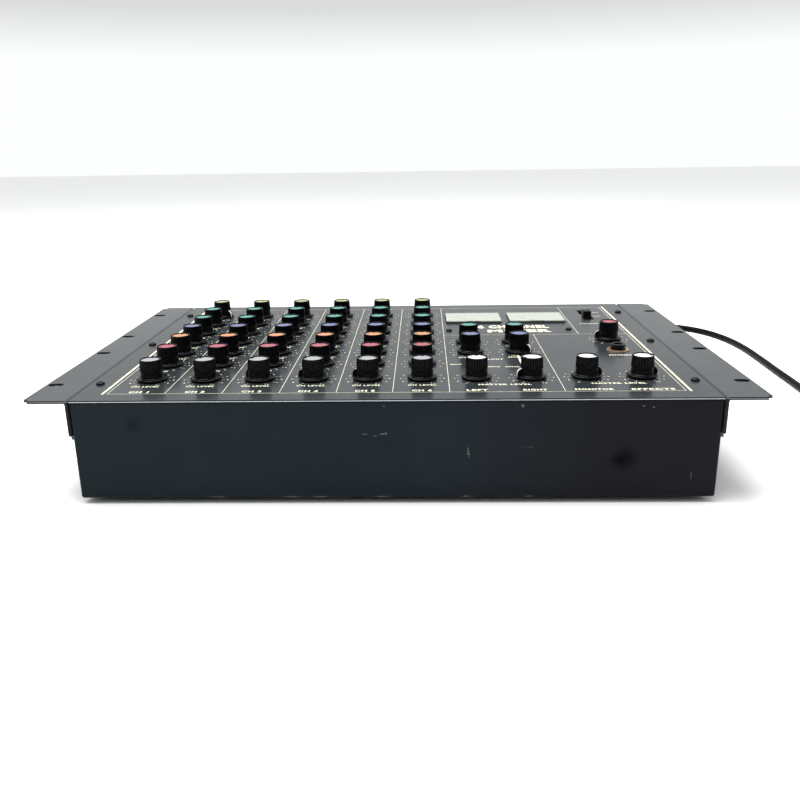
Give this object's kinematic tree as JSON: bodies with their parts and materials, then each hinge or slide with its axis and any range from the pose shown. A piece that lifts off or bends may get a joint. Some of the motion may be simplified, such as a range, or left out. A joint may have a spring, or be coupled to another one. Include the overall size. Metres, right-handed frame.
{
  "type": "rack audio mixer",
  "caption": "Rack-mount audio mixer lying face up: rows of colour-capped knobs on a flat panel, two level meters, slotted rack ears, a shallow steel box and a mains lead.",
  "frame": {"origin": "under the middle of the faceplate, on the surface that the feet stand on", "axes": "+X to the panel's right, along its longest side; +Y to the panel's top edge, where the sockets and the mains lead are; +Z out of the panel"},
  "size_m": [0.6601, 0.5266, 0.0884],
  "materials": {
    "panel_paint": "satin dark grey enamel",
    "box_paint": "satin blue-black enamel",
    "knob_plastic": "semi-gloss black",
    "board": "matt",
    "cord_rubber": "satin black"
  },
  "bodies": {
    "housing": {"chassis": "box_paint", "faceplate": "panel_paint", "rack_ear_left": "panel_paint", "rack_ear_right": "panel_paint", "electronics": "board", "power_cord": "cord_rubber", "power_cord_coil": "cord_rubber", "power_plug": "cord_rubber"},
    "ch1_level": {"ch1_level_knob": "knob_plastic"},
    "ch1_pan": {"ch1_pan_knob": "knob_plastic"},
    "ch1_effects": {"ch1_effects_knob": "knob_plastic"},
    "ch1_monitor": {"ch1_monitor_knob": "knob_plastic"},
    "ch1_bass": {"ch1_bass_knob": "knob_plastic"},
    "ch1_treble": {"ch1_treble_knob": "knob_plastic"},
    "ch1_gain": {"ch1_gain_knob": "knob_plastic"},
    "ch2_level": {"ch2_level_knob": "knob_plastic"},
    "ch2_pan": {"ch2_pan_knob": "knob_plastic"},
    "ch2_effects": {"ch2_effects_knob": "knob_plastic"},
    "ch2_monitor": {"ch2_monitor_knob": "knob_plastic"},
    "ch2_bass": {"ch2_bass_knob": "knob_plastic"},
    "ch2_treble": {"ch2_treble_knob": "knob_plastic"},
    "ch2_gain": {"ch2_gain_knob": "knob_plastic"},
    "ch3_level": {"ch3_level_knob": "knob_plastic"},
    "ch3_pan": {"ch3_pan_knob": "knob_plastic"},
    "ch3_effects": {"ch3_effects_knob": "knob_plastic"},
    "ch3_monitor": {"ch3_monitor_knob": "knob_plastic"},
    "ch3_bass": {"ch3_bass_knob": "knob_plastic"},
    "ch3_treble": {"ch3_treble_knob": "knob_plastic"},
    "ch3_gain": {"ch3_gain_knob": "knob_plastic"},
    "ch4_level": {"ch4_level_knob": "knob_plastic"},
    "ch4_pan": {"ch4_pan_knob": "knob_plastic"},
    "ch4_effects": {"ch4_effects_knob": "knob_plastic"},
    "ch4_monitor": {"ch4_monitor_knob": "knob_plastic"},
    "ch4_bass": {"ch4_bass_knob": "knob_plastic"},
    "ch4_treble": {"ch4_treble_knob": "knob_plastic"},
    "ch4_gain": {"ch4_gain_knob": "knob_plastic"},
    "ch5_level": {"ch5_level_knob": "knob_plastic"},
    "ch5_pan": {"ch5_pan_knob": "knob_plastic"},
    "ch5_effects": {"ch5_effects_knob": "knob_plastic"},
    "ch5_monitor": {"ch5_monitor_knob": "knob_plastic"},
    "ch5_bass": {"ch5_bass_knob": "knob_plastic"},
    "ch5_treble": {"ch5_treble_knob": "knob_plastic"},
    "ch5_gain": {"ch5_gain_knob": "knob_plastic"},
    "ch6_level": {"ch6_level_knob": "knob_plastic"},
    "ch6_pan": {"ch6_pan_knob": "knob_plastic"},
    "ch6_effects": {"ch6_effects_knob": "knob_plastic"},
    "ch6_monitor": {"ch6_monitor_knob": "knob_plastic"},
    "ch6_bass": {"ch6_bass_knob": "knob_plastic"},
    "ch6_treble": {"ch6_treble_knob": "knob_plastic"},
    "ch6_gain": {"ch6_gain_knob": "knob_plastic"},
    "master_left": {"master_left_knob": "knob_plastic"},
    "master_right": {"master_right_knob": "knob_plastic"},
    "effects_return_left": {"effects_return_left_knob": "knob_plastic"},
    "effects_return_right": {"effects_return_right_knob": "knob_plastic"},
    "master_bass": {"master_bass_knob": "knob_plastic"},
    "master_treble": {"master_treble_knob": "knob_plastic"},
    "monitor_master": {"monitor_master_knob": "knob_plastic"},
    "effects_master": {"effects_master_knob": "knob_plastic"},
    "phones_level": {"phones_level_knob": "knob_plastic"},
    "power_switch": {"power_switch_slider": "knob_plastic"}
  },
  "joints": [
    {"name": "power_switch_slide", "type": "slide", "parent": "housing", "child": "power_switch", "axis": [0, 1, 0], "range_m": [0, 0.015]},
    {"name": "ch1_level_turn", "type": "hinge", "parent": "housing", "child": "ch1_level", "pos_m": [-0.1702, -0.1077, 0.0729], "axis": [0, 0, 1], "range_deg": [-150, 150]},
    {"name": "ch1_pan_turn", "type": "hinge", "parent": "housing", "child": "ch1_pan", "pos_m": [-0.1702, -0.0687, 0.0729], "axis": [0, 0, 1], "range_deg": [-150, 150]},
    {"name": "ch1_effects_turn", "type": "hinge", "parent": "housing", "child": "ch1_effects", "pos_m": [-0.1702, -0.0338, 0.0729], "axis": [0, 0, 1], "range_deg": [-150, 150]},
    {"name": "ch1_monitor_turn", "type": "hinge", "parent": "housing", "child": "ch1_monitor", "pos_m": [-0.1702, 0.0011, 0.0729], "axis": [0, 0, 1], "range_deg": [-150, 150]},
    {"name": "ch1_bass_turn", "type": "hinge", "parent": "housing", "child": "ch1_bass", "pos_m": [-0.1702, 0.036, 0.0729], "axis": [0, 0, 1], "range_deg": [-150, 150]},
    {"name": "ch1_treble_turn", "type": "hinge", "parent": "housing", "child": "ch1_treble", "pos_m": [-0.1702, 0.0709, 0.0729], "axis": [0, 0, 1], "range_deg": [-150, 150]},
    {"name": "ch1_gain_turn", "type": "hinge", "parent": "housing", "child": "ch1_gain", "pos_m": [-0.1702, 0.1058, 0.0729], "axis": [0, 0, 1], "range_deg": [-30, 270]},
    {"name": "ch2_level_turn", "type": "hinge", "parent": "housing", "child": "ch2_level", "pos_m": [-0.1324, -0.1077, 0.0729], "axis": [0, 0, 1], "range_deg": [-190, 110]},
    {"name": "ch2_pan_turn", "type": "hinge", "parent": "housing", "child": "ch2_pan", "pos_m": [-0.1324, -0.0687, 0.0729], "axis": [0, 0, 1], "range_deg": [-150, 150]},
    {"name": "ch2_effects_turn", "type": "hinge", "parent": "housing", "child": "ch2_effects", "pos_m": [-0.1324, -0.0338, 0.0729], "axis": [0, 0, 1], "range_deg": [-150, 150]},
    {"name": "ch2_monitor_turn", "type": "hinge", "parent": "housing", "child": "ch2_monitor", "pos_m": [-0.1324, 0.0011, 0.0729], "axis": [0, 0, 1], "range_deg": [-150, 150]},
    {"name": "ch2_bass_turn", "type": "hinge", "parent": "housing", "child": "ch2_bass", "pos_m": [-0.1324, 0.036, 0.0729], "axis": [0, 0, 1], "range_deg": [-150, 150]},
    {"name": "ch2_treble_turn", "type": "hinge", "parent": "housing", "child": "ch2_treble", "pos_m": [-0.1324, 0.0709, 0.0729], "axis": [0, 0, 1], "range_deg": [-150, 150]},
    {"name": "ch2_gain_turn", "type": "hinge", "parent": "housing", "child": "ch2_gain", "pos_m": [-0.1324, 0.1058, 0.0729], "axis": [0, 0, 1], "range_deg": [-150, 150]},
    {"name": "ch3_level_turn", "type": "hinge", "parent": "housing", "child": "ch3_level", "pos_m": [-0.0946, -0.1077, 0.0729], "axis": [0, 0, 1], "range_deg": [-215, 85]},
    {"name": "ch3_pan_turn", "type": "hinge", "parent": "housing", "child": "ch3_pan", "pos_m": [-0.0946, -0.0687, 0.0729], "axis": [0, 0, 1], "range_deg": [-150, 150]},
    {"name": "ch3_effects_turn", "type": "hinge", "parent": "housing", "child": "ch3_effects", "pos_m": [-0.0946, -0.0338, 0.0729], "axis": [0, 0, 1], "range_deg": [-150, 150]},
    {"name": "ch3_monitor_turn", "type": "hinge", "parent": "housing", "child": "ch3_monitor", "pos_m": [-0.0946, 0.0011, 0.0729], "axis": [0, 0, 1], "range_deg": [-150, 150]},
    {"name": "ch3_bass_turn", "type": "hinge", "parent": "housing", "child": "ch3_bass", "pos_m": [-0.0946, 0.036, 0.0729], "axis": [0, 0, 1], "range_deg": [-150, 150]},
    {"name": "ch3_treble_turn", "type": "hinge", "parent": "housing", "child": "ch3_treble", "pos_m": [-0.0946, 0.0709, 0.0729], "axis": [0, 0, 1], "range_deg": [-150, 150]},
    {"name": "ch3_gain_turn", "type": "hinge", "parent": "housing", "child": "ch3_gain", "pos_m": [-0.0946, 0.1058, 0.0729], "axis": [0, 0, 1], "range_deg": [-150, 150]},
    {"name": "ch4_level_turn", "type": "hinge", "parent": "housing", "child": "ch4_level", "pos_m": [-0.0568, -0.1077, 0.0729], "axis": [0, 0, 1], "range_deg": [-230, 70]},
    {"name": "ch4_pan_turn", "type": "hinge", "parent": "housing", "child": "ch4_pan", "pos_m": [-0.0568, -0.0687, 0.0729], "axis": [0, 0, 1], "range_deg": [-150, 150]},
    {"name": "ch4_effects_turn", "type": "hinge", "parent": "housing", "child": "ch4_effects", "pos_m": [-0.0568, -0.0338, 0.0729], "axis": [0, 0, 1], "range_deg": [-150, 150]},
    {"name": "ch4_monitor_turn", "type": "hinge", "parent": "housing", "child": "ch4_monitor", "pos_m": [-0.0568, 0.0011, 0.0729], "axis": [0, 0, 1], "range_deg": [-150, 150]},
    {"name": "ch4_bass_turn", "type": "hinge", "parent": "housing", "child": "ch4_bass", "pos_m": [-0.0568, 0.036, 0.0729], "axis": [0, 0, 1], "range_deg": [-150, 150]},
    {"name": "ch4_treble_turn", "type": "hinge", "parent": "housing", "child": "ch4_treble", "pos_m": [-0.0568, 0.0709, 0.0729], "axis": [0, 0, 1], "range_deg": [-150, 150]},
    {"name": "ch4_gain_turn", "type": "hinge", "parent": "housing", "child": "ch4_gain", "pos_m": [-0.0568, 0.1058, 0.0729], "axis": [0, 0, 1], "range_deg": [-150, 150]},
    {"name": "ch5_level_turn", "type": "hinge", "parent": "housing", "child": "ch5_level", "pos_m": [-0.019, -0.1077, 0.0729], "axis": [0, 0, 1], "range_deg": [-230, 70]},
    {"name": "ch5_pan_turn", "type": "hinge", "parent": "housing", "child": "ch5_pan", "pos_m": [-0.019, -0.0687, 0.0729], "axis": [0, 0, 1], "range_deg": [-150, 150]},
    {"name": "ch5_effects_turn", "type": "hinge", "parent": "housing", "child": "ch5_effects", "pos_m": [-0.019, -0.0338, 0.0729], "axis": [0, 0, 1], "range_deg": [-150, 150]},
    {"name": "ch5_monitor_turn", "type": "hinge", "parent": "housing", "child": "ch5_monitor", "pos_m": [-0.019, 0.0011, 0.0729], "axis": [0, 0, 1], "range_deg": [-150, 150]},
    {"name": "ch5_bass_turn", "type": "hinge", "parent": "housing", "child": "ch5_bass", "pos_m": [-0.019, 0.036, 0.0729], "axis": [0, 0, 1], "range_deg": [-150, 150]},
    {"name": "ch5_treble_turn", "type": "hinge", "parent": "housing", "child": "ch5_treble", "pos_m": [-0.019, 0.0709, 0.0729], "axis": [0, 0, 1], "range_deg": [-150, 150]},
    {"name": "ch5_gain_turn", "type": "hinge", "parent": "housing", "child": "ch5_gain", "pos_m": [-0.019, 0.1058, 0.0729], "axis": [0, 0, 1], "range_deg": [-150, 150]},
    {"name": "ch6_level_turn", "type": "hinge", "parent": "housing", "child": "ch6_level", "pos_m": [0.0188, -0.1077, 0.0729], "axis": [0, 0, 1], "range_deg": [-150, 150]},
    {"name": "ch6_pan_turn", "type": "hinge", "parent": "housing", "child": "ch6_pan", "pos_m": [0.0188, -0.0687, 0.0729], "axis": [0, 0, 1], "range_deg": [-150, 150]},
    {"name": "ch6_effects_turn", "type": "hinge", "parent": "housing", "child": "ch6_effects", "pos_m": [0.0188, -0.0338, 0.0729], "axis": [0, 0, 1], "range_deg": [-150, 150]},
    {"name": "ch6_monitor_turn", "type": "hinge", "parent": "housing", "child": "ch6_monitor", "pos_m": [0.0188, 0.0011, 0.0729], "axis": [0, 0, 1], "range_deg": [-150, 150]},
    {"name": "ch6_bass_turn", "type": "hinge", "parent": "housing", "child": "ch6_bass", "pos_m": [0.0188, 0.036, 0.0729], "axis": [0, 0, 1], "range_deg": [-150, 150]},
    {"name": "ch6_treble_turn", "type": "hinge", "parent": "housing", "child": "ch6_treble", "pos_m": [0.0188, 0.0709, 0.0729], "axis": [0, 0, 1], "range_deg": [-150, 150]},
    {"name": "ch6_gain_turn", "type": "hinge", "parent": "housing", "child": "ch6_gain", "pos_m": [0.0188, 0.1058, 0.0729], "axis": [0, 0, 1], "range_deg": [-150, 150]},
    {"name": "master_left_turn", "type": "hinge", "parent": "housing", "child": "master_left", "pos_m": [0.0563, -0.1077, 0.0729], "axis": [0, 0, 1], "range_deg": [-150, 150]},
    {"name": "master_right_turn", "type": "hinge", "parent": "housing", "child": "master_right", "pos_m": [0.0943, -0.1073, 0.0729], "axis": [0, 0, 1], "range_deg": [-255, 45]},
    {"name": "effects_return_left_turn", "type": "hinge", "parent": "housing", "child": "effects_return_left", "pos_m": [0.0561, -0.0355, 0.0729], "axis": [0, 0, 1], "range_deg": [-150, 150]},
    {"name": "effects_return_right_turn", "type": "hinge", "parent": "housing", "child": "effects_return_right", "pos_m": [0.0935, -0.0353, 0.0729], "axis": [0, 0, 1], "range_deg": [-20, 280]},
    {"name": "master_bass_turn", "type": "hinge", "parent": "housing", "child": "master_bass", "pos_m": [0.0563, -0.0027, 0.0729], "axis": [0, 0, 1], "range_deg": [-150, 150]},
    {"name": "master_treble_turn", "type": "hinge", "parent": "housing", "child": "master_treble", "pos_m": [0.0933, -0.0027, 0.0729], "axis": [0, 0, 1], "range_deg": [-150, 150]},
    {"name": "monitor_master_turn", "type": "hinge", "parent": "housing", "child": "monitor_master", "pos_m": [0.1322, -0.1062, 0.0729], "axis": [0, 0, 1], "range_deg": [-70, 230]},
    {"name": "effects_master_turn", "type": "hinge", "parent": "housing", "child": "effects_master", "pos_m": [0.1703, -0.1059, 0.0729], "axis": [0, 0, 1], "range_deg": [-70, 230]},
    {"name": "phones_level_turn", "type": "hinge", "parent": "housing", "child": "phones_level", "pos_m": [0.1706, 0.0038, 0.0729], "axis": [0, 0, 1], "range_deg": [-230, 70]}
  ]
}
